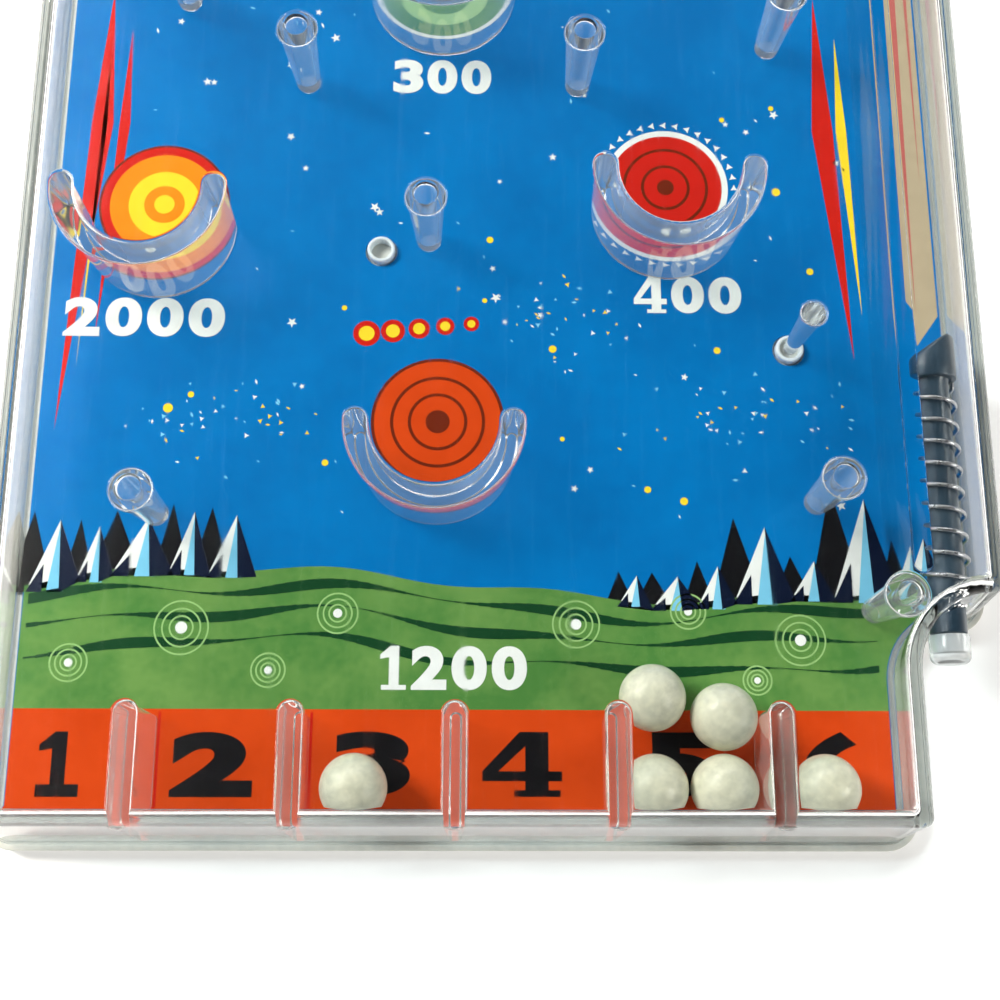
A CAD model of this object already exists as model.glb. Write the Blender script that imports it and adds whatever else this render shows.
import math
import random

import bmesh
import bpy
from mathutils import Matrix, Vector


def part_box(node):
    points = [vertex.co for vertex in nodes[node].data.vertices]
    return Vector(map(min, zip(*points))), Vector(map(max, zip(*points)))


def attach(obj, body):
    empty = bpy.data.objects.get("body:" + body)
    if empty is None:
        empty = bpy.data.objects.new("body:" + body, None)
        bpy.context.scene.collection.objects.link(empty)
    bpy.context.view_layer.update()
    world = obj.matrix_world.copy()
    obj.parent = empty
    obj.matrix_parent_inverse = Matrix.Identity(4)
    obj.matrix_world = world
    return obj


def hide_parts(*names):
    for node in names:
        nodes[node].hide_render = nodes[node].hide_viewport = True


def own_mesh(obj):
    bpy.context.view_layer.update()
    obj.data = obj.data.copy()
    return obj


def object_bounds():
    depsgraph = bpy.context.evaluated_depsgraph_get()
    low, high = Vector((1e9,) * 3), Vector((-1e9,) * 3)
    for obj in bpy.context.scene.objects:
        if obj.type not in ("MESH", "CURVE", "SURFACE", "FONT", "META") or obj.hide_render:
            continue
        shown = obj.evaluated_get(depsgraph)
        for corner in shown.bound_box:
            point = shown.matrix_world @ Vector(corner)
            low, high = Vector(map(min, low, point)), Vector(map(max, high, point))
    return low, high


mm = 0.001
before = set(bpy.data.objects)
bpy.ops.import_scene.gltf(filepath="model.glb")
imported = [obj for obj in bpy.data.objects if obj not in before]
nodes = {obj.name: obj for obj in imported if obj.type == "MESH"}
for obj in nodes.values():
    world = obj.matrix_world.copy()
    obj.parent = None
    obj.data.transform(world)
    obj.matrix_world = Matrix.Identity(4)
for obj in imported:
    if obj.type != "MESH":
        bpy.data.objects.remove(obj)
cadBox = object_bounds()
rng = random.Random(41)
print("frame loaded:", len(nodes), "nodes")

# Millimetres, x from the board's middle and y from its bottom edge; place() turns them into the frame
board = {"stepW": 10.0, "shoulderY": 25.4, "stepR": 5.9, "cornerR": 4.0, "archR": 44.0, "trayFloor": 1.6,
         "cardTop": 2.1, "footZ": 2.4, "windowT": 1.6, "coverIn": 0.85, "wallT": 1.5, "wallLean": 2.0,
         "edgeR": 1.4}
boardW, boardL, topZ = ((cadBox[1][i] - cadBox[0][i]) / mm for i in range(3))
halfW = boardW / 2
footX = halfW - board["stepW"]
roofZ = topZ - board["windowT"]
stepR, cardTop, footZ, trayFloor = board["stepR"], board["cardTop"], board["footZ"], board["trayFloor"]


def place(x, y, z):
    return Vector((x * mm, (y - boardL / 2) * mm, z * mm))


def middle(node):
    low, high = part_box(node)
    m = (low + high) / 2 / mm
    return m.x, m.y + boardL / 2, m.z


def standingAt(node, reach=6):
    # the middle of each separate solid of a node; vertices within reach of each other are one solid
    solids = []
    for v in nodes[node].data.vertices:
        p = v.co / mm
        near = [s for s in solids if math.hypot(p.x - s[0].x, p.y - s[0].y) < reach]
        if near:
            near[0].append(p)
        else:
            solids.append([p])
    spans = [([p.x for p in s], [p.y for p in s]) for s in solids]
    return sorted(((min(xs) + max(xs)) / 2, (min(ys) + max(ys)) / 2 + boardL / 2) for xs, ys in spans)


def newMaterial(name):
    m = bpy.data.materials.new(name)
    m.use_nodes = True
    m.node_tree.nodes.clear()
    return m, m.node_tree.nodes, m.node_tree.links


def mottleGroup():
    # two scales of noise about a base colour, with roughness and bump height to match
    g = bpy.data.node_groups.new("mottle", "ShaderNodeTree")
    face = g.interface
    colourKind, numberKind = "NodeSocketColor", "NodeSocketFloat"
    grey = (0.5, 0.5, 0.5, 1)
    for label, kind, start in (("Color", colourKind, grey), ("Second", colourKind, grey),
                               ("Scale", numberKind, 200), ("Spread", numberKind, 0.5),
                               ("Roughness", numberKind, 0.4), ("Uneven", numberKind, 0.1)):
        face.new_socket(label, in_out="INPUT", socket_type=kind).default_value = start
    for label, kind in (("Color", colourKind), ("Roughness", numberKind), ("Height", numberKind)):
        face.new_socket(label, in_out="OUTPUT", socket_type=kind)
    n, l = g.nodes, g.links
    start, end = n.new("NodeGroupInput"), n.new("NodeGroupOutput")
    coord = n.new("ShaderNodeTexCoord")
    broad, fine = n.new("ShaderNodeTexNoise"), n.new("ShaderNodeTexNoise")
    broad.inputs["Detail"].default_value = 3
    fine.inputs["Detail"].default_value = 2
    times = n.new("ShaderNodeMath")
    times.operation = "MULTIPLY"
    times.inputs[1].default_value = 7.3  # the fine noise against the broad one
    for t in (broad, fine):
        l.new(coord.outputs["Object"], t.inputs["Vector"])
    l.new(start.outputs["Scale"], broad.inputs["Scale"])
    l.new(start.outputs["Scale"], times.inputs[0])
    l.new(times.outputs[0], fine.inputs["Scale"])
    both = n.new("ShaderNodeMath")
    both.operation = "MULTIPLY_ADD"
    both.inputs[1].default_value = 0.35
    l.new(fine.outputs["Fac"], both.inputs[0])
    l.new(broad.outputs["Fac"], both.inputs[2])
    ramp = n.new("ShaderNodeMapRange")
    ramp.inputs["From Min"].default_value = 0.5
    ramp.inputs["From Max"].default_value = 0.85
    l.new(both.outputs[0], ramp.inputs["Value"])
    amount = n.new("ShaderNodeMath")
    amount.operation = "MULTIPLY"
    l.new(ramp.outputs["Result"], amount.inputs[0])
    l.new(start.outputs["Spread"], amount.inputs[1])
    mix = n.new("ShaderNodeMix")
    mix.data_type = "RGBA"
    l.new(amount.outputs[0], mix.inputs[0])
    l.new(start.outputs["Color"], mix.inputs[6])
    l.new(start.outputs["Second"], mix.inputs[7])
    rough = n.new("ShaderNodeMath")
    rough.operation = "MULTIPLY_ADD"
    l.new(ramp.outputs["Result"], rough.inputs[0])
    l.new(start.outputs["Uneven"], rough.inputs[1])
    l.new(start.outputs["Roughness"], rough.inputs[2])
    l.new(mix.outputs[2], end.inputs["Color"])
    l.new(rough.outputs[0], end.inputs["Roughness"])
    l.new(both.outputs[0], end.inputs["Height"])
    return g


mottle = mottleGroup()


def linear(rgb):
    return tuple((c / 12.92 if c <= 0.04045 else ((c + 0.055) / 1.055) ** 2.4) for c in rgb)


plainFinish = {"second": None, "scale": 200, "spread": 0.5, "rough": 0.4, "uneven": 0.1, "bump": 0.00001,
               "coat": 0, "coatRough": 0.12, "metal": 0, "shine": 0.5, "sss": 0,
               "depth": (0.0012, 0.001, 0.0008)}


def plainMaterial(name, finish):
    # opaque plastic, ink or wire; finish holds what differs from plainFinish
    look = {**plainFinish, **finish}
    m, n, l = newMaterial(name)
    out = n.new("ShaderNodeOutputMaterial")
    shader = n.new("ShaderNodeBsdfPrincipled")
    g = n.new("ShaderNodeGroup")
    g.node_tree = mottle
    colour = linear(look["colour"])
    second = linear(look["second"]) if look["second"] else tuple(c * 0.85 for c in colour)
    g.inputs["Color"].default_value = (*colour, 1)
    g.inputs["Second"].default_value = (*second, 1)
    for label, key in (("Scale", "scale"), ("Spread", "spread"), ("Roughness", "rough"),
                       ("Uneven", "uneven")):
        g.inputs[label].default_value = look[key]
    l.new(g.outputs["Color"], shader.inputs["Base Color"])
    l.new(g.outputs["Roughness"], shader.inputs["Roughness"])
    b = n.new("ShaderNodeBump")
    b.inputs["Distance"].default_value = look["bump"]
    b.inputs["Strength"].default_value = 0.6
    l.new(g.outputs["Height"], b.inputs["Height"])
    l.new(b.outputs["Normal"], shader.inputs["Normal"])
    shader.inputs["Specular IOR Level"].default_value = look["shine"]
    shader.inputs["Coat Weight"].default_value = look["coat"]
    shader.inputs["Coat Roughness"].default_value = look["coatRough"]
    shader.inputs["Metallic"].default_value = look["metal"]
    if look["sss"]:
        shader.inputs["Subsurface Weight"].default_value = look["sss"]
        shader.inputs["Subsurface Radius"].default_value = look["depth"]
        shader.inputs["Subsurface Scale"].default_value = 1
    l.new(shader.outputs["BSDF"], out.inputs["Surface"])
    return m


def lightOnly(n, l):
    # 1 for rays that only carry light to a surface, 0 for lines of sight
    path = n.new("ShaderNodeLightPath")
    either = n.new("ShaderNodeMath")
    either.operation = "MAXIMUM"
    l.new(path.outputs["Is Shadow Ray"], either.inputs[0])
    l.new(path.outputs["Is Diffuse Ray"], either.inputs[1])
    return either.outputs[0]


clearLook = {"tint": (0.992, 0.996, 0.99), "bend": 1.49, "rough": 0.03, "worn": 0.14, "milk": 0, "wave": 90,
             "waveHeight": 0.000004, "grain": (900, 60, 300), "grainTurn": 0.5,
             "paneFacing": (0.97, 0.98, 0.98), "paneSlanted": (0.5, 0.56, 0.6)}


def clearMaterial(name, finish):
    # clear moulding; light passes it as through a thin pane, darker where the surface turns away
    look = {**clearLook, **finish}
    m, n, l = newMaterial(name)
    out = n.new("ShaderNodeOutputMaterial")
    shader = n.new("ShaderNodeBsdfPrincipled")
    shader.inputs["Base Color"].default_value = (*look["tint"], 1)
    shader.inputs["Transmission Weight"].default_value = 1 - look["milk"]
    shader.inputs["IOR"].default_value = look["bend"]
    coord = n.new("ShaderNodeTexCoord")
    stretch = n.new("ShaderNodeMapping")
    stretch.inputs["Scale"].default_value = look["grain"]
    stretch.inputs["Rotation"].default_value = (0, 0, look["grainTurn"])
    l.new(coord.outputs["Object"], stretch.inputs["Vector"])
    marks = n.new("ShaderNodeTexNoise")
    marks.inputs["Scale"].default_value = 1
    marks.inputs["Detail"].default_value = 4
    l.new(stretch.outputs["Vector"], marks.inputs["Vector"])
    worn = n.new("ShaderNodeMapRange")
    worn.inputs["From Min"].default_value = 0.55
    worn.inputs["From Max"].default_value = 0.8
    worn.inputs["To Min"].default_value = look["rough"]
    worn.inputs["To Max"].default_value = look["rough"] + look["worn"]
    l.new(marks.outputs["Fac"], worn.inputs["Value"])
    l.new(worn.outputs["Result"], shader.inputs["Roughness"])
    wave = n.new("ShaderNodeTexNoise")
    wave.inputs["Scale"].default_value = look["wave"]
    l.new(coord.outputs["Object"], wave.inputs["Vector"])
    b = n.new("ShaderNodeBump")
    b.inputs["Distance"].default_value = look["waveHeight"]
    b.inputs["Strength"].default_value = 0.5
    l.new(wave.outputs["Fac"], b.inputs["Height"])
    l.new(b.outputs["Normal"], shader.inputs["Normal"])
    pane = n.new("ShaderNodeBsdfTransparent")
    edge = n.new("ShaderNodeLayerWeight")
    edge.inputs["Blend"].default_value = 0.35
    dim = n.new("ShaderNodeMix")
    dim.data_type = "RGBA"
    dim.inputs[6].default_value = (*look["paneFacing"], 1)
    dim.inputs[7].default_value = (*look["paneSlanted"], 1)
    l.new(edge.outputs["Facing"], dim.inputs[0])
    l.new(dim.outputs[2], pane.inputs["Color"])
    both = n.new("ShaderNodeMixShader")
    l.new(lightOnly(n, l), both.inputs["Fac"])
    l.new(shader.outputs["BSDF"], both.inputs[1])
    l.new(pane.outputs["BSDF"], both.inputs[2])
    l.new(both.outputs["Shader"], out.inputs["Surface"])
    return m


paneLook = {"tint": (0.96, 0.97, 0.97), "rough": 0.08, "shine": 0.16, "slant": 0.2}


def paneMaterial(name):
    # thin clear wall; lines of sight cross it straight and it shines a little at a slant
    m, n, l = newMaterial(name)
    out = n.new("ShaderNodeOutputMaterial")
    straight = n.new("ShaderNodeBsdfTransparent")
    straight.inputs["Color"].default_value = (*paneLook["tint"], 1)
    shine = n.new("ShaderNodeBsdfGlossy")
    shine.inputs["Roughness"].default_value = paneLook["rough"]
    slant = n.new("ShaderNodeLayerWeight")
    slant.inputs["Blend"].default_value = paneLook["slant"]
    share = n.new("ShaderNodeMapRange")
    share.inputs["To Min"].default_value = paneLook["shine"]
    share.inputs["To Max"].default_value = 0
    l.new(lightOnly(n, l), share.inputs["Value"])
    amount = n.new("ShaderNodeMath")
    amount.operation = "MULTIPLY"
    l.new(share.outputs["Result"], amount.inputs[0])
    l.new(slant.outputs["Facing"], amount.inputs[1])
    both = n.new("ShaderNodeMixShader")
    l.new(amount.outputs[0], both.inputs["Fac"])
    l.new(straight.outputs["BSDF"], both.inputs[1])
    l.new(shine.outputs["BSDF"], both.inputs[2])
    l.new(both.outputs["Shader"], out.inputs["Surface"])
    return m


def newPiece(name, bm, material, body, replaced=(), smooth=35):
    bmesh.ops.remove_doubles(bm, verts=bm.verts, dist=1e-7)
    bmesh.ops.recalc_face_normals(bm, faces=bm.faces)
    for e in bm.edges:
        e.smooth = not (len(e.link_faces) == 2 and e.calc_face_angle(0) > math.radians(smooth))
    for f in bm.faces:
        f.smooth = True
    mesh = bpy.data.meshes.new(name)
    bm.to_mesh(mesh)
    bm.free()
    piece = bpy.data.objects.new(name, mesh)
    bpy.context.scene.collection.objects.link(piece)
    mesh.materials.append(material)
    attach(piece, body)
    if replaced:
        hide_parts(*replaced)
    return piece


def addLoft(bm, rings):
    # rings of equal point counts joined in order, with both ends capped
    rows = [[bm.verts.new(p) for p in ring] for ring in rings]
    count = len(rows[0])
    for a, b in zip(rows, rows[1:]):
        for i in range(count):
            bm.faces.new((a[i], a[(i + 1) % count], b[(i + 1) % count], b[i]))
    bm.faces.new(list(reversed(rows[0])))
    bm.faces.new(rows[-1])


def arc(cx, cy, r, start, end, count):
    return [(cx + r * math.cos(math.radians(start + (end - start) * i / count)),
             cy + r * math.sin(math.radians(start + (end - start) * i / count))) for i in range(count + 1)]


def boardOutline(g):
    # the board's outline drawn in by g; the point count never changes
    low, high = max(board["cornerR"] - g, 0.8), board["archR"] - g
    return (arc(-halfW + g + low, g + low, low, 180, 270, 8)
            + arc(footX - g - low, g + low, low, 270, 360, 8)
            + arc(footX + stepR, board["shoulderY"] - stepR, stepR + g, 180, 90, 12)
            + arc(halfW - g - low, board["shoulderY"] + g + low, low, 270, 360, 8)
            + arc(halfW - g - high, boardL - g - high, high, 0, 90, 40)
            + arc(-halfW + g + high, boardL - g - high, high, 90, 180, 40))


def ringAt(z, outline):
    return [place(x, y, z) for x, y in outline]


def boardRing(z, g):
    return ringAt(z, boardOutline(g))


def lean(z):
    return board["wallLean"] * (z - trayFloor) / (topZ - trayFloor)


def wallIn(z):
    return board["coverIn"] + board["wallT"] + lean(z)


def lathe(bm, profile, x, y, z0=0, sides=48):
    # profile of [radius, height] turned about an upright axis at x, y
    addLoft(bm, [ringAt(z0 + z, arc(x, y, r, 0, 360 - 360 / sides, sides - 1)) for r, z in profile])


def latheAlong(bm, profile, x, z, sides=48):
    # profile of [radius, y] turned about an axis along the board
    turns = [2 * math.pi * i / sides for i in range(sides)]
    addLoft(bm, [[place(x + r * math.cos(t), y, z + r * math.sin(t)) for t in turns] for r, y in profile])


print("helpers ready")

moulding = {"footRound": 0.3, "rootRound": 0.45, "roundSteps": 4, "taper": 0.55, "taperFrom": 8.0,
            "edgeSteps": 7, "slotWallT": 2.3, "slotWallEnd": 14.75, "fenceT": 1.6, "cupR": 9.05,
            "cupT": 2.4, "cupEnd": 1.2, "pinD": 4.6, "pinTaper": 0.7, "stakeD": 2.8, "boreTop": 1.36,
            "boreFoot": 1.0, "boreFloor": 3.6, "notchR": 2.16, "notch": (19.5, 30.2),
            "hangingFinish": {"rough": 0.05, "milk": 0.1}}


def hangingLevels(t, taper):
    # [height, half thickness] from the rounded foot to inside the window
    foot, root = min(moulding["footRound"], 0.8 * (t / 2 - taper)), moulding["rootRound"]
    steps, waist = moulding["roundSteps"], moulding["taperFrom"]
    levels = []
    for k in range(steps + 1):
        a = math.radians(90 * k / steps)
        levels.append((footZ + foot * (1 - math.cos(a)), t / 2 - taper - foot * (1 - math.sin(a))))
    levels.append((waist, t / 2 - taper * (roofZ - waist) / (roofZ - footZ)))
    for k in range(steps + 1):
        a = math.radians(90 * k / steps)
        levels.append((roofZ - root + root * math.sin(a), t / 2 + root * (1 - math.cos(a))))
    levels.append((roofZ + 0.6, t / 2 + root))
    return levels


def addStraight(bm, x, y0, y1, t, taper, leaning=False):
    rings = []
    for z, h in hangingLevels(t, taper):
        low = wallIn(z) - 0.1 if leaning else y0
        rings.append(ringAt(z, arc(x, y1, h, 0, 180, 16) + arc(x, low, h, 180, 360, 16)))
    addLoft(bm, rings)


def addCup(bm, x, y, r, t, taper):
    rings = []
    for z, h in hangingLevels(t, taper):
        rings.append(ringAt(z, arc(x, y, r + h, 180, 360, 48) + arc(x + r, y, h, 0, 180, 12)[1:-1]
                            + arc(x, y, r - h, 360, 180, 48) + arc(x - r, y, h, 0, 180, 12)[1:-1]))
    addLoft(bm, rings)


def addPost(bm, x, y, d, taper):
    addLoft(bm, [ringAt(z, arc(x, y, h, 0, 352.5, 47)) for z, h in hangingLevels(d, taper)])


def addCover(bm):
    coverIn, edgeR = board["coverIn"], board["edgeR"]
    outer = [(trayFloor, coverIn + 0.12), (trayFloor + 0.12, coverIn)]
    steps = moulding["edgeSteps"]
    for k in range(steps + 1):
        a = math.radians(90 * k / steps)
        outer.append((topZ - edgeR * (1 - math.sin(a)), coverIn + lean(topZ) + edgeR * (1 - math.cos(a))))
    inner = [(roofZ, wallIn(roofZ) + 0.8), (roofZ - 0.1, wallIn(roofZ) + 0.38),
             (roofZ - 0.35, wallIn(roofZ) + 0.1), (roofZ - 0.8, wallIn(roofZ - 0.8)),
             (trayFloor + 0.1, wallIn(trayFloor)), (trayFloor, wallIn(trayFloor) - 0.1)]
    addLoft(bm, [boardRing(z, g) for z, g in inner + outer])


def scratchObject(name, build):
    bm = bmesh.new()
    build(bm)
    bmesh.ops.remove_doubles(bm, verts=bm.verts, dist=1e-7)
    bmesh.ops.recalc_face_normals(bm, faces=bm.faces)
    mesh = bpy.data.meshes.new(name)
    bm.to_mesh(mesh)
    bm.free()
    o = bpy.data.objects.new(name, mesh)
    bpy.context.scene.collection.objects.link(o)
    return o


cupNodes = ["low_cup", "right_cup", "left_cup", "middle_cup", "high_left_cup", "high_right_cup", "top_cup"]
cups = {}
for name in cupNodes:
    low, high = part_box(name)
    cups[name] = ((low.x + high.x) / 2 / mm, high.y / mm + boardL / 2 - moulding["cupEnd"])
slotWalls = [middle("slot_wall_%d" % i)[0] for i in range(1, 6)]
fenceLow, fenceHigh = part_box("lane_fence")
fenceX = (fenceLow.x + fenceHigh.x) / 2 / mm
halfFence = moulding["fenceT"] / 2
fenceY = (fenceLow.y / mm + boardL / 2 + halfFence, fenceHigh.y / mm + boardL / 2 - halfFence)
stake = middle("card_stake")[:2]
hollowPins = standingAt("low_pins") + standingAt("high_pins")
rodX, _, rodZ = middle("plunger_knob")


def addHanging(bm):
    taper = moulding["taper"]
    for x in slotWalls:
        addStraight(bm, x, 0, moulding["slotWallEnd"], moulding["slotWallT"], taper, leaning=True)
    addStraight(bm, fenceX, fenceY[0], fenceY[1], moulding["fenceT"], taper)
    for x, y in cups.values():
        addCup(bm, x, y, moulding["cupR"], moulding["cupT"], taper)
    for x, y in hollowPins:
        addPost(bm, x, y, moulding["pinD"], moulding["pinTaper"])
    addPost(bm, stake[0], stake[1], moulding["stakeD"], taper)


def addBores(bm):
    # the pins' hollows, open at the window, and the slot in the shoulder wall where the bar passes
    top, foot, floor = moulding["boreTop"], moulding["boreFoot"], moulding["boreFloor"]
    hollow = [(foot - 0.35, floor), (foot - 0.1, floor + 0.12), (foot, floor + 0.4),
              (top - 0.02, roofZ + 1.0), (top + 0.06, topZ - 0.12), (top + 0.24, topZ),
              (top + 0.24, topZ + 0.5)]
    for x, y in hollowPins:
        lathe(bm, hollow, x, y)
    r = moulding["notchR"]
    notch = [(rodX - r, 0), (rodX + r, 0)] + arc(rodX, rodZ, r, 0, 180, 24)
    addLoft(bm, [[place(x, y, z) for x, z in notch] for y in moulding["notch"]])


cover = scratchObject("coverForm", addCover)
hanging = scratchObject("hangingForm", addHanging)
bores = scratchObject("boreForm", addBores)
for tool, how in ((hanging, "UNION"), (bores, "DIFFERENCE")):
    join = cover.modifiers.new(how, "BOOLEAN")
    join.operation = how
    join.object = tool
    join.solver = "EXACT"
made = bpy.data.meshes.new_from_object(cover.evaluated_get(bpy.context.evaluated_depsgraph_get()))
bm = bmesh.new()
bm.from_mesh(made)
for o in (cover, hanging, bores):
    bpy.data.objects.remove(o)
moulded = newPiece("clear_moulding", bm, clearMaterial("clearPlastic", {}), "board",
                   ["clear_cover", "lane_fence", "card_stake", "low_pins", "high_pins"] + cupNodes
                   + ["slot_wall_%d" % i for i in range(1, 6)], smooth=32)
moulded.data.materials.append(paneMaterial("fenceSides"))
moulded.data.materials.append(clearMaterial("hangingPlastic", moulding["hangingFinish"]))
reach = {"cup": 11.6, "pin": 2.8, "fence": 1.3, "slotWall": 1.7, "slotEnd": 16.3}
standing = [(x, y, reach["cup"]) for x, y in cups.values()]
standing += [(x, y, reach["pin"]) for x, y in hollowPins + [stake]]
for face in moulded.data.polygons:
    x, y, z = face.center / mm
    y += boardL / 2
    if z > roofZ - 0.05:
        continue
    bySlotWall = y < reach["slotEnd"] and any(abs(x - wallX) < reach["slotWall"] for wallX in slotWalls)
    if abs(x - fenceX) < reach["fence"] and fenceY[0] - 1 < y < fenceY[1] + 1:
        face.material_index = 1
    elif bySlotWall or any(math.hypot(x - cx, y - cy) < r for cx, cy, r in standing):
        face.material_index = 2
even = moulded.modifiers.new("evenNormals", "WEIGHTED_NORMAL")
even.keep_sharp = True
print("clear moulding:", len(moulded.data.polygons), "faces")

tray = {"lipTop": 2.1, "lipW": 0.75,
        "finish": {"colour": (0.83, 0.83, 0.8), "second": (0.74, 0.75, 0.73), "scale": 900, "spread": 0.4,
                   "rough": 0.38, "uneven": 0.12, "bump": 0.00002, "sss": 0.15}}
lip, lipW = tray["lipTop"], tray["lipW"]
bm = bmesh.new()
profile = ((0, 0.3), (0.05, 0.1), (0.2, 0), (lip - 0.15, 0), (lip - 0.04, 0.05), (lip, 0.16),
           (lip, lipW - 0.13), (lip - 0.04, lipW - 0.04), (lip - 0.15, lipW), (trayFloor, lipW))
addLoft(bm, [boardRing(z, g) for z, g in profile])
frosted = plainMaterial("trayPlastic", tray["finish"])
newPiece("tray_moulding", bm, frosted, "board", ["back_tray"])
rings = {"outer": 1.75, "inner": 1.3, "top": 2.9, "points": 48,
         "finish": {"colour": (0.9, 0.93, 0.95), "second": (0.8, 0.85, 0.9), "scale": 700, "spread": 0.4,
                    "rough": 0.2, "sss": 0.3}}
ringPlaces = standingAt("tray_rings")
outer, inner, top, count = (rings[key] for key in ("outer", "inner", "top", "points"))
bm = bmesh.new()
for x, y in ringPlaces:
    rows = []
    for r, z in ((inner, trayFloor), (inner, top - 0.1), (inner + 0.1, top), (outer - 0.12, top),
                 (outer, top - 0.12), (outer, trayFloor)):
        rows.append([bm.verts.new(p) for p in ringAt(z, arc(x, y, r, 0, 360 - 360 / count, count - 1))])
    for a, b in zip(rows, rows[1:] + rows[:1]):
        for i in range(count):
            bm.faces.new((a[i], a[(i + 1) % count], b[(i + 1) % count], b[i]))
frosted = plainMaterial("ringPlastic", rings["finish"])
newPiece("ring_bosses", bm, frosted, "board", ["tray_rings"])
print("tray and rings ready")

inks = {"blue": (0.0, 0.46, 0.745), "green": (0.3, 0.5, 0.24), "darkGreen": (0.07, 0.24, 0.13),
        "paleGreen": (0.62, 0.78, 0.5), "orange": (0.86, 0.29, 0.09), "red": (0.8, 0.13, 0.09),
        "amber": (0.95, 0.55, 0.1), "yellow": (0.98, 0.85, 0.2), "white": (0.95, 0.96, 0.95),
        "cyan": (0.5, 0.8, 0.93), "black": (0.05, 0.05, 0.06), "navy": (0.03, 0.07, 0.16),
        "brown": (0.42, 0.14, 0.06), "sand": (0.74, 0.67, 0.56), "rose": (0.76, 0.4, 0.38)}
inkFinish = {"scale": 420, "rough": 0.33, "uneven": 0.12, "bump": 0.000006, "shine": 0.15}
uneven = {"blue": {"second": (0.0, 0.39, 0.66), "scale": 60, "spread": 0.7},  # the large areas vary most
          "green": {"second": (0.42, 0.58, 0.3), "scale": 130, "spread": 1.0},
          "orange": {"second": (0.78, 0.24, 0.05), "scale": 90, "spread": 0.7}}
inkMaterials = {name: plainMaterial(name + "Ink", {**inkFinish, "colour": colour, **uneven.get(name, {})})
                for name, colour in inks.items()}
card = nodes["printed_card"]
card.data.materials.clear()
card.data.materials.append(inkMaterials["blue"])
printed = []
inkStep = 0.012  # each layer of ink stands this far above the last


def printShapes(name, colour, shapes, layer):
    # flat ink shapes, each a list of [x, y]; a higher layer lies over a lower one
    bm = bmesh.new()
    for shape in shapes:
        bm.faces.new([bm.verts.new(place(x, y, cardTop + inkStep * layer)) for x, y in shape])
    for f in bm.faces:
        f.normal_update()
        if f.normal.z < 0:
            f.normal_flip()
    mesh = bpy.data.meshes.new(name)
    bm.to_mesh(mesh)
    bm.free()
    piece = bpy.data.objects.new("print_" + name, mesh)
    bpy.context.scene.collection.objects.link(piece)
    mesh.materials.append(inkMaterials[colour])
    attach(piece, "board")
    printed.append(piece)


def disc(x, y, r, count=40):
    return arc(x, y, r, 0, 360 - 360 / count, count - 1)


def band(x, y, r0, r1, count=48, start=0, end=360):
    # quads of a flat ring
    a, b = arc(x, y, r0, start, end, count), arc(x, y, r1, start, end, count)
    return [[a[i], a[i + 1], b[i + 1], b[i]] for i in range(count)]


def star(x, y, r, turn=0, points=5, depth=0.42):
    shape = []
    for i in range(points * 2):
        a = math.radians(90 + turn + 180 * i / points)
        k = r if i % 2 == 0 else r * depth
        shape.append((x + k * math.cos(a), y + k * math.sin(a)))
    return shape


ownDigits = {"1": [[(0.05, 0), (1, 0), (1, 0.11), (0.05, 0.11)],
                   [(0.34, 0.11), (0.72, 0.11), (0.72, 1), (0.4, 1), (0.34, 0.97)],
                   [(0.34, 0.97), (0, 0.8), (0, 0.7), (0.34, 0.74)]],
             "4": [[(0.4, 0), (0.98, 0), (0.98, 0.1), (0.4, 0.1)],
                   [(0.54, 0.1), (0.83, 0.1), (0.83, 0.24), (0.54, 0.24)],
                   [(0, 0.24), (1, 0.24), (1, 0.39), (0, 0.39)],
                   [(0.54, 0.39), (0.83, 0.39), (0.83, 1), (0.54, 1)],
                   [(0, 0.39), (0.2, 0.39), (0.54, 0.78), (0.54, 1), (0.47, 1)]]}
digitGap, narrowOne = 0.14, 0.74


def digitShapes(digit, weight):
    # one plain numeral as flat shapes inside the unit square
    if digit in ownDigits:
        return ownDigits[digit]
    curve = bpy.data.curves.new("number", "FONT")
    curve.body = digit
    curve.offset = weight
    temp = bpy.data.objects.new("number", curve)
    bpy.context.scene.collection.objects.link(temp)
    bpy.context.view_layer.update()
    mesh = bpy.data.meshes.new_from_object(temp.evaluated_get(bpy.context.evaluated_depsgraph_get()))
    bpy.data.objects.remove(temp)
    xs, ys = [v.co.x for v in mesh.vertices], [v.co.y for v in mesh.vertices]
    x0, y0 = min(xs), min(ys)
    kx, ky = max(xs) - x0, max(ys) - y0
    unit = [((v.co.x - x0) / kx, (v.co.y - y0) / ky) for v in mesh.vertices]
    return [[unit[i] for i in f.vertices] for f in mesh.polygons]


def printNumber(text, colour, x, y, w, h, layer, weight=0.05):
    # a number fitted to a box of w by h about x, y
    widths = [narrowOne if c == "1" else 1 for c in text]
    unit = w / (sum(widths) + digitGap * (len(text) - 1))
    at = x - w / 2
    shapes = []
    for c, wide in zip(text, widths):
        for shape in digitShapes(c, weight):
            shapes.append([(at + px * unit * wide, y + (py - 0.5) * h) for px, py in shape])
        at += unit * (wide + digitGap)
    printShapes("number_%s_%d" % (text, len(printed)), colour, shapes, layer)


layout = {"left": -56.45, "footRight": 46.45, "right": 56.3, "in": 2.85,
          "stripTop": 16.05, "stripLow": 2.85, "bandTop": 31.0, "bandSteps": 60}


def bandTop(x):
    return layout["bandTop"] + 1.9 * math.cos((x + 30) / 17) + 0.5 * math.sin(x / 4.1)


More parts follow.
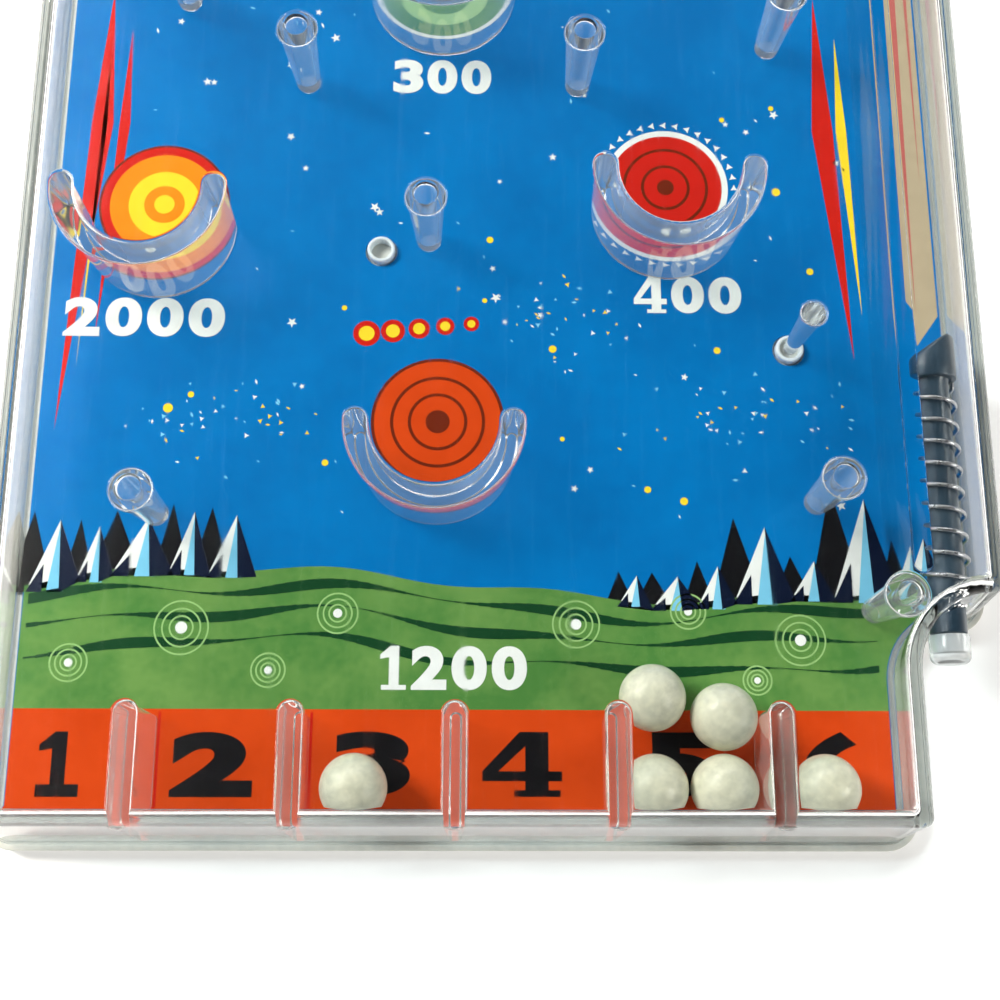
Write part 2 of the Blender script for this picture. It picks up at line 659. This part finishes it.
greenShape = [(layout["left"], layout["stripTop"]), (layout["footRight"], layout["stripTop"])]
greenShape += arc(footX + stepR, board["shoulderY"] - stepR, stepR + layout["in"], 180, 92, 14)
greenShape += [(layout["right"], 28.5)]
steps = layout["bandSteps"]
for i in range(steps + 1):
    x = layout["right"] + (layout["left"] - layout["right"]) * i / steps
    greenShape.append((x, bandTop(x)))
printShapes("green_band", "green", [greenShape], 2)
contour = {"lifts": (2.2, 5.2, 8.6), "pieces": 70, "length": 101.5, "in": 0.6}


def contourY(x, k):
    return bandTop(x) - contour["lifts"][k] - 0.5 * math.sin(x / 7 + k)


contours = []
for k in range(len(contour["lifts"])):
    piece = contour["length"] / contour["pieces"]
    for i in range(contour["pieces"]):
        x0 = layout["left"] + contour["in"] + piece * i
        x1 = x0 + piece
        y0, y1 = contourY(x0, k), contourY(x1, k)
        wide = 0.35 + 0.3 * math.sin(x0 / 5 + 2 * k)
        contours.append([(x0, y0 - wide), (x1, y1 - wide), (x1, y1 + wide), (x0, y0 + wide)])
printShapes("green_contours", "darkGreen", contours, 3)
ripples = {"places": ((-50.5, 21.4, 2.3), (-37.5, 25.6, 3.3), (-27, 20.6, 2.1), (-19, 27.4, 2.5),
                      (9.5, 26.2, 2.9), (23, 27.8, 2.2), (36.4, 24.4, 3.1), (31, 19.6, 1.8)),
           "rings": (0.45, 0.72, 1.0), "line": 0.2, "dot": 0.22}
ringShapes, dots = [], []
for x, y, r in ripples["places"]:
    for k in ripples["rings"]:
        ringShapes += band(x, y, r * k - ripples["line"], r * k, 32)
    dots.append(disc(x, y, r * ripples["dot"], 16))
printShapes("green_rings", "paleGreen", ringShapes, 4)
printShapes("green_dots", "white", dots, 4)

peaks = {"white": [], "navy": [], "cyan": [], "black": []}
# two rows of triangles along the green: [first x, widths, growth]
peakRows = ((-56.3, (6.4, 4.6, 7.6, 5.2, 6.0), 1.0), (14.5, (4.4, 6.2, 5.0, 7.6, 5.8, 8.2, 4.6), 0.8))
for x0, widths, grow in peakRows:
    x = x0
    for i, w in enumerate(widths):
        tall = w * grow * (1.3 + 0.35 * math.sin(2.3 * i + x0))
        if x0 > 0:
            tall *= 0.75 + 0.1 * i
        low, high = bandTop(x) - 0.8, bandTop(x + w) - 0.8
        top = min(low, high) + tall
        peaks["black"].append([(x - 0.35 * w, low), (x + 0.5 * w, low), (x + 0.05 * w, top + 0.12 * tall)])
        peaks["white"].append([(x, low), (x + w, high), (x + 0.55 * w, top)])
        peaks["cyan"].append([(x + 0.38 * w, low), (x + 0.7 * w, low), (x + 0.55 * w, top - 0.1 * tall)])
        peaks["navy"].append([(x + 0.62 * w, low), (x + w, high), (x + 0.55 * w, top)])
        peaks["navy"].append([(x, low), (x + 0.3 * w, low), (x + 0.3 * w, low + 0.38 * tall)])
        x += w * 0.9
for k, ink in enumerate(("black", "white", "cyan", "navy")):
    printShapes("peaks_" + ink, ink, peaks[ink], 1 + k)

left, right, low, high = (layout[key] for key in ("left", "footRight", "stripLow", "stripTop"))
printShapes("orange_strip", "orange", [[(left, low), (right, low), (right, high), (left, high)]], 2)
panel = {"pitch": 17.7, "in": 0.6, "wide": 0.3, "low": 3.1, "high": 15.7}
panels = []
for i in range(1, 6):
    x0 = slotWalls[0] + panel["pitch"] * (i - 1) + panel["in"]
    x1 = x0 + panel["wide"]
    panels.append([(x0, panel["low"]), (x1, panel["low"]), (x1, panel["high"]), (x0, panel["high"])])
printShapes("panel_lines", "red", panels, 3)
slotNumbers = (("1", -50.8, 9.7, 4.4, 7.4), ("2", -33.0, 9.7, 9.5, 7.4), ("3", -14.5, 9.8, 8.9, 7.4),
               ("4", 3.0, 9.8, 9.3, 7.4), ("5", 21.5, 9.8, 8.2, 7.4), ("6", 39.5, 9.9, 7.4, 7.4))
for text, x, y, w, h in slotNumbers:
    printNumber(text, "black", x, y, w, h, 4, 0.055)
printShapes("one_foot", "black", [[(-53.1, 6.0), (-48.2, 6.0), (-48.2, 7.4), (-53.1, 7.4)]], 5)
scores = (("2000", -44.5, 64.9, 20.2, 5.2), ("400", 24.3, 68.6, 13.8, 5.0), ("1200", -5.1, 20.95, 17.4, 5.2),
          ("300", -7.4, 99.4, 13, 5), ("500", -39, 129.4, 13, 5), ("500", 25, 129.4, 13, 5),
          ("3000", -7.4, 163.4, 18, 5))
for text, x, y, w, h in scores:
    printNumber(text, "white", x, y, w, h, 4, 0.045)

# concentric discs under the cups, largest first: [radius, ink]
roundels = {"left": ((-43.0, 80.4), ((8.4, "brown"), (8.1, "red"), (7.0, "amber"), (4.6, "yellow"),
                                     (2.6, "amber"), (1.3, "yellow"))),
            "right": ((21.9, 83.6), ((8.2, "white"), (7.4, "red"), (5.6, "brown"), (5.2, "red"),
                                     (3.2, "brown"), (2.8, "red"), (1.1, "brown"))),
            "low": ((-7.4, 51.4), ((8.3, "brown"), (7.9, "orange"), (5.9, "brown"), (5.5, "orange"),
                                   (3.7, "brown"), (3.3, "orange"), (1.5, "brown"))),
            "middle": ((-7.4, 114.6), ((8.0, "white"), (7.4, "green"), (5.2, "paleGreen"), (3.0, "green"))),
            "high_left": ((-39, 144.8), ((8.2, "navy"), (7.6, "yellow"), (5.4, "orange"), (3.0, "yellow"))),
            "high_right": ((25, 144.8), ((8.2, "navy"), (7.6, "cyan"), (5.4, "white"), (3.0, "red"))),
            "top": ((-7.4, 178.8), ((8.6, "red"), (7.6, "yellow"), (5.8, "red"), (4.0, "yellow"),
                                    (1.8, "red")))}
for name, ((x, y), discs) in roundels.items():
    for k, (r, ink) in enumerate(discs):
        printShapes("roundel_%s_%d" % (name, k), ink, [disc(x, y, r, 64)], 2 + k)
fringe = {"count": 36, "r": 9.0, "star": 0.55}
(cx, cy), points = roundels["right"][0], []
for i in range(fringe["count"]):
    turn = 360 / fringe["count"] * i
    x, y = cx + fringe["r"] * math.cos(math.radians(turn)), cy + fringe["r"] * math.sin(math.radians(turn))
    points.append(star(x, y, fringe["star"], turn, 3))
printShapes("fringe", "white", points, 2)

# long thin stripes at the sides and up the lane
bars = {"red": [[(-54.6, 50), (-50.4, 92), (-51.6, 112), (-53.2, 92)],
                [(-50.6, 62), (-48.2, 92), (-48.8, 106), (-49.6, 92)],
                [(45.2, 60), (44.4, 92), (42.8, 112), (41.6, 92)]],
        "yellow": [[(-52.6, 58), (-51.2, 92), (-51.4, 102), (-51.8, 92)],
                   [(46.6, 66), (46.2, 92), (45.4, 106), (44.8, 92)]],
        "sand": [[(50.6, 66), (53.4, 62), (56.3, 66), (56.3, 172), (53.4, 190), (50.6, 172)]]}
for ink, shapes in bars.items():
    printShapes("bars_" + ink, ink, shapes, 1)
laneRose = [[(53.5, 66), (54.6, 150), (53.4, 186), (52.9, 150)],
            [(55.4, 84), (55.9, 140), (55.4, 170), (55.1, 140)]]
printShapes("lane_rose", "rose", laneRose, 2)
printShapes("lane_yellow", "yellow", [[(51.5, 72), (52.3, 140), (52.0, 170), (51.1, 140)]], 2)
comet = {"at": (-16.5, 63.0), "step": (3.3, 0.35), "count": 5,
         "discs": (("red", 1.7, 0.18, 28), ("yellow", 1.0, 0.12, 24))}
(cx, cy), (dx, dy) = comet["at"], comet["step"]
for layer, (ink, r, less, sides) in enumerate(comet["discs"]):
    row = [disc(cx + dx * k, cy + dy * k, r - less * k, sides) for k in range(comet["count"])]
    printShapes("comet_" + ink, ink, row, 1 + layer)
specks = {"count": 330, "clusters": ((-33, 52, 9), (32, 52, 8), (8, 66, 6)), "inCluster": 46, "low": 38.5,
          "cupR": 12.5, "cupUp": 3, "ringR": 3.2, "archIn": 5, "side": 46,
          # [x, y, half width, half height] about each score and the comet
          "zones": ((-44.5, 64.9, 12, 4), (24.3, 68.6, 9, 4), (-7.4, 99.4, 9, 4), (-39, 129.4, 9, 4),
                    (25, 129.4, 9, 4), (-7.4, 163.4, 11, 4), (-10, 63.6, 9, 3.4))}


def clearOfPrint(x, y):
    # true where a star speck would touch no cup, score, comet, ring or rounded edge
    if any(math.hypot(x - cx, y - cy - specks["cupUp"]) < specks["cupR"] for cx, cy in cups.values()):
        return False
    if any(abs(x - cx) < w and abs(y - cy) < h for cx, cy, w, h in specks["zones"]):
        return False
    if any(math.hypot(x - px, y - py) < specks["ringR"] for px, py in ringPlaces):
        return False
    archR, archY = board["archR"], boardL - board["archR"]
    if y > archY and math.hypot(max(abs(x) - (halfW - archR), 0), y - archY) > archR - specks["archIn"]:
        return False
    return abs(x) < specks["side"]


sky = {"white": [], "cyan": [], "yellow": []}
for i in range(specks["count"]):
    x, y = rng.uniform(-54, 46), rng.uniform(specks["low"], 220)
    kind = rng.random()
    if clearOfPrint(x, y):
        if kind < 0.3:
            sky["white"].append(star(x, y, rng.uniform(0.35, 0.75), rng.uniform(0, 72)))
        elif kind < 0.78:
            ink = "cyan" if kind > 0.55 else "white"
            sky[ink].append(star(x, y, rng.uniform(0.25, 0.5), rng.uniform(0, 90), 2, 0.35))
        else:
            sky["yellow"].append(disc(x, y, rng.uniform(0.3, 0.65), 14))
for cx, cy, spread in specks["clusters"]:
    for i in range(specks["inCluster"]):
        x, y = rng.gauss(cx, spread), rng.gauss(cy, 3.2)
        if y > specks["low"] and clearOfPrint(x, y):
            ink = ("white", "cyan", "yellow")[i % 3]
            sky[ink].append(star(x, y, rng.uniform(0.2, 0.42), rng.uniform(0, 90), 2 + i % 2, 0.4))
for ink, shapes in sky.items():
    printShapes("sky_" + ink, ink, shapes, 1)
print("card printed:", len(printed), "pieces")

plunger = {"headR": 3.1, "slant": 3.2, "slantFrom": 1.55, "headBack": 5.4, "rodR": 2.1,
           "neckR": 1.5, "neckL": 2, "sides": 48, "rim": ((0, 0.5), (0.08, 0.2), (0.25, 0.06), (0.5, 0)),
           "finish": {"colour": (0.13, 0.19, 0.24), "second": (0.2, 0.28, 0.34), "scale": 260, "spread": 0.6,
                      "rough": 0.28, "uneven": 0.15, "coat": 0.3}}
rodLow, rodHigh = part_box("plunger_rod")
y0, y1 = rodLow.y / mm + boardL / 2, rodHigh.y / mm + boardL / 2
headY, headR, sides = y1 - plunger["headBack"], plunger["headR"], plunger["sides"]
neckR, rodR, neckEnd = plunger["neckR"], plunger["rodR"], y0 + plunger["neckL"]
profile = [(neckR - 0.2, y0), (neckR, y0 + 0.2), (neckR, neckEnd), (rodR - 0.2, neckEnd),
           (rodR, neckEnd + 0.2), (rodR, headY - 0.2), (rodR + 0.1, headY), (headR - 0.25, headY),
           (headR - 0.08, headY + 0.08), (headR, headY + 0.25)]
turns = [2 * math.pi * i / sides for i in range(sides)]
rows = [[(r, y)] * sides for r, y in profile]
for inset, under in plunger["rim"]:
    row = []
    for t in turns:
        past = min(0, (headR - inset) * math.cos(t) - plunger["slantFrom"])
        top = y1 + plunger["slant"] * past / (headR + plunger["slantFrom"])
        row.append((headR - inset, top - under))
    rows.append(row)
bm = bmesh.new()
addLoft(bm, [[place(rodX + r * math.cos(t), y, rodZ + r * math.sin(t)) for (r, y), t in zip(row, turns)]
             for row in rows])
dark = plainMaterial("darkPlastic", plunger["finish"])
newPiece("plunger_bar", bm, dark, "plunger", ["plunger_rod"])

knob = {"r": 2.3, "round": 0.9, "roundSteps": 6, "bore": 1.52, "boreUp": 1.4,
        "finish": {"tint": (0.9, 0.93, 0.94), "rough": 0.1, "milk": 0.3}}
knobLow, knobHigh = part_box("plunger_knob")
k0, k1 = knobLow.y / mm + boardL / 2, knobHigh.y / mm + boardL / 2
profile = [(knob["r"] - knob["round"] - 0.7, k0 + 0.02)]
for k in range(knob["roundSteps"] + 1):
    a = math.radians(90 * k / knob["roundSteps"])
    profile.append((knob["r"] - knob["round"] * (1 - math.sin(a)), k0 + knob["round"] * (1 - math.cos(a))))
profile += [(knob["r"], k1 - 0.2), (knob["r"] - 0.06, k1 - 0.06), (knob["r"] - 0.2, k1), (knob["bore"], k1),
            (knob["bore"], k0 + knob["boreUp"])]
bm = bmesh.new()
latheAlong(bm, profile, rodX, rodZ)
pale = clearMaterial("knobPlastic", knob["finish"])
newPiece("knob_cap", bm, pale, "plunger", ["plunger_knob"])

coil = {"curls": 9, "wire": 0.25, "r": 2.65, "sides": 12, "perCurl": 32, "end": 0.75,
        "finish": {"colour": (0.72, 0.73, 0.75), "second": (0.5, 0.5, 0.52), "scale": 1200, "spread": 0.6,
                   "rough": 0.24, "uneven": 0.12, "bump": 0.000006, "metal": 1}}
springLow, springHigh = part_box("plunger_spring")
s0, s1 = springLow.y / mm + boardL / 2, springHigh.y / mm + boardL / 2
total = coil["curls"] * coil["perCurl"]
rise = (s1 - s0 - 2 * coil["end"]) / total
path = [Vector((coil["r"], s0, 0))]
for i in range(total + 1):
    a = 2 * math.pi * i / coil["perCurl"]
    path.append(Vector((coil["r"] * math.cos(a), s0 + coil["end"] + rise * i, coil["r"] * math.sin(a))))
path.append(Vector((coil["r"], s1, 0)))
turns = [2 * math.pi * k / coil["sides"] for k in range(coil["sides"])]
tube = []
for i, p in enumerate(path):
    ends = i in (0, len(path) - 1)
    along = Vector((0, 1, 0)) if ends else (path[i + 1] - path[i - 1]).normalized()
    outward = Vector((p.x, 0, p.z))
    outward = (outward - along * outward.dot(along)).normalized()
    across = along.cross(outward)
    around = [p + coil["wire"] * (math.cos(t) * outward + math.sin(t) * across) for t in turns]
    tube.append([place(rodX + q.x, q.y, rodZ + q.z) for q in around])
bm = bmesh.new()
addLoft(bm, tube)
steel = plainMaterial("springSteel", coil["finish"])
spring = newPiece("coil_spring", bm, steel, "board", ["plunger_spring"], smooth=60)
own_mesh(spring)
print("plunger ready")

balls = {"across": 64, "up": 40,
         "finish": {"colour": (0.86, 0.85, 0.76), "second": (0.76, 0.755, 0.675), "scale": 900, "spread": 0.9,
                    "rough": 0.3, "uneven": 0.2, "bump": 0.00005, "coat": 0.35, "sss": 0.2}}
ballMaterial = plainMaterial("ballPlastic", balls["finish"])
for i in range(1, 7):
    bx, by, bz = middle("ball_%d" % i)
    low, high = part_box("ball_%d" % i)
    r = (high.z - low.z) / 2
    bm = bmesh.new()
    bmesh.ops.create_uvsphere(bm, u_segments=balls["across"], v_segments=balls["up"], radius=r)
    bmesh.ops.translate(bm, verts=bm.verts, vec=place(bx, by, bz))
    newPiece("loose_ball_%d" % i, bm, ballMaterial, "ball_%d" % i, ["ball_%d" % i], smooth=180)
print("balls ready")

studio = {"floor": (0.9, 0.9, 0.9), "floorRough": 0.9, "glow": 0.22, "halfFloor": 3, "whiteFrom": 0.3,
          "whiteAt": 0.9, "horizon": 0.95, "overhead": 0.02, "fallFrom": 0.12, "fallTo": 0.62}


def stageMaterial(name):
    # pale floor that runs out to white far from the board
    m, n, l = newMaterial(name)
    out = n.new("ShaderNodeOutputMaterial")
    shader = n.new("ShaderNodeBsdfPrincipled")
    shader.inputs["Base Color"].default_value = (*studio["floor"], 1)
    shader.inputs["Roughness"].default_value = studio["floorRough"]
    shader.inputs["Emission Color"].default_value = (1, 1, 1, 1)
    coord = n.new("ShaderNodeTexCoord")
    away = n.new("ShaderNodeVectorMath")
    away.operation = "LENGTH"
    l.new(coord.outputs["Object"], away.inputs[0])
    far = n.new("ShaderNodeMapRange")
    far.inputs["From Min"].default_value = studio["whiteFrom"]
    far.inputs["From Max"].default_value = studio["whiteAt"]
    l.new(away.outputs["Value"], far.inputs["Value"])
    path = n.new("ShaderNodeLightPath")
    shown = n.new("ShaderNodeMath")
    shown.operation = "MULTIPLY"
    l.new(far.outputs["Result"], shown.inputs[0])
    l.new(path.outputs["Is Camera Ray"], shown.inputs[1])
    total = n.new("ShaderNodeMath")
    total.operation = "ADD"
    total.inputs[1].default_value = studio["glow"]
    l.new(shown.outputs[0], total.inputs[0])
    l.new(total.outputs[0], shader.inputs["Emission Strength"])
    l.new(shader.outputs["BSDF"], out.inputs["Surface"])
    return m


half = studio["halfFloor"]
bm = bmesh.new()
corners = ((-half, -half), (half, -half), (half, half), (-half, half))
bm.faces.new([bm.verts.new((x, y, 0)) for x, y in corners])
mesh = bpy.data.meshes.new("floor")
bm.to_mesh(mesh)
bm.free()
floor = bpy.data.objects.new("floor", mesh)
bpy.context.scene.collection.objects.link(floor)
mesh.materials.append(stageMaterial("floorPaper"))

world = bpy.data.worlds.new("studio")
bpy.context.scene.world = world
world.use_nodes = True
wn, wl = world.node_tree.nodes, world.node_tree.links
wn.clear()
skyOut = wn.new("ShaderNodeOutputWorld")
overhead, seen = wn.new("ShaderNodeBackground"), wn.new("ShaderNodeBackground")
seen.inputs["Color"].default_value = (1, 1, 1, 1)
where = wn.new("ShaderNodeTexCoord")
split = wn.new("ShaderNodeSeparateXYZ")
fall = wn.new("ShaderNodeMapRange")
for label, key in (("From Min", "fallFrom"), ("From Max", "fallTo"), ("To Min", "horizon"),
                   ("To Max", "overhead")):
    fall.inputs[label].default_value = studio[key]
wl.new(where.outputs["Generated"], split.inputs[0])
wl.new(split.outputs["Z"], fall.inputs["Value"])
wl.new(fall.outputs["Result"], overhead.inputs["Strength"])
rays = wn.new("ShaderNodeLightPath")
pick = wn.new("ShaderNodeMixShader")
wl.new(rays.outputs["Is Camera Ray"], pick.inputs["Fac"])
wl.new(overhead.outputs["Background"], pick.inputs[1])
wl.new(seen.outputs["Background"], pick.inputs[2])
wl.new(pick.outputs["Shader"], skyOut.inputs["Surface"])


def addLight(name, lamp):
    # large lamps aren't mirrored, or they would blot out the window
    light = bpy.data.lights.new(name, "AREA")
    light.shape = "RECTANGLE"
    light.size, light.size_y = lamp["size"]
    light.energy = lamp["power"]
    light.color = lamp["colour"]
    o = bpy.data.objects.new(name, light)
    bpy.context.scene.collection.objects.link(o)
    o.location = lamp["at"]
    toward = Vector(lamp["target"]) - Vector(lamp["at"])
    o.rotation_euler = toward.to_track_quat("-Z", "Y").to_euler()
    o.visible_glossy = lamp.get("mirrored", False)


lamps = {"keyLight": {"at": (-0.75, 0.3, 0.64), "target": (0, -0.02, 0), "size": (0.3, 0.3), "power": 17.5,
                      "colour": (1, 0.97, 0.9)},
         "glintLight": {"at": (-0.5, 0.55, 0.7), "target": (0, -0.02, 0), "size": (0.05, 0.05),
                        "power": 1.2, "colour": (1, 0.98, 0.94), "mirrored": True},
         "fillLight": {"at": (0.85, -0.35, 0.6), "target": (0, -0.05, 0), "size": (0.5, 0.5), "power": 7,
                       "colour": (1, 0.97, 0.9)},
         "backLight": {"at": (0.0, 0.75, 0.6), "target": (0, 0, 0), "size": (0.9, 0.25), "power": 4.6,
                       "colour": (1, 0.98, 0.94)}}
for name, lamp in lamps.items():
    addLight(name, lamp)

view = {"lens": 45.24, "sensor": 36, "clip": 0.005, "at": (-2.675, -108.05, 152.1),
        "right": (0.99978, 0.00172, 0.02078), "up": (-0.0066, 0.97143, 0.23723),
        "ahead": (0.01978, 0.23731, -0.97123)}
lens = bpy.data.cameras.new("camera")
lens.sensor_width = view["sensor"]
lens.lens = view["lens"]
lens.clip_start = view["clip"]
camera = bpy.data.objects.new("camera", lens)
bpy.context.scene.collection.objects.link(camera)
turn = Matrix((view["right"], view["up"], -Vector(view["ahead"]))).transposed().to_4x4()
camera.matrix_world = Matrix.Translation(Vector(view["at"]) * mm) @ turn
bpy.context.scene.camera = camera
bpy.context.scene.view_settings.view_transform = "Standard"

print("stage ready")
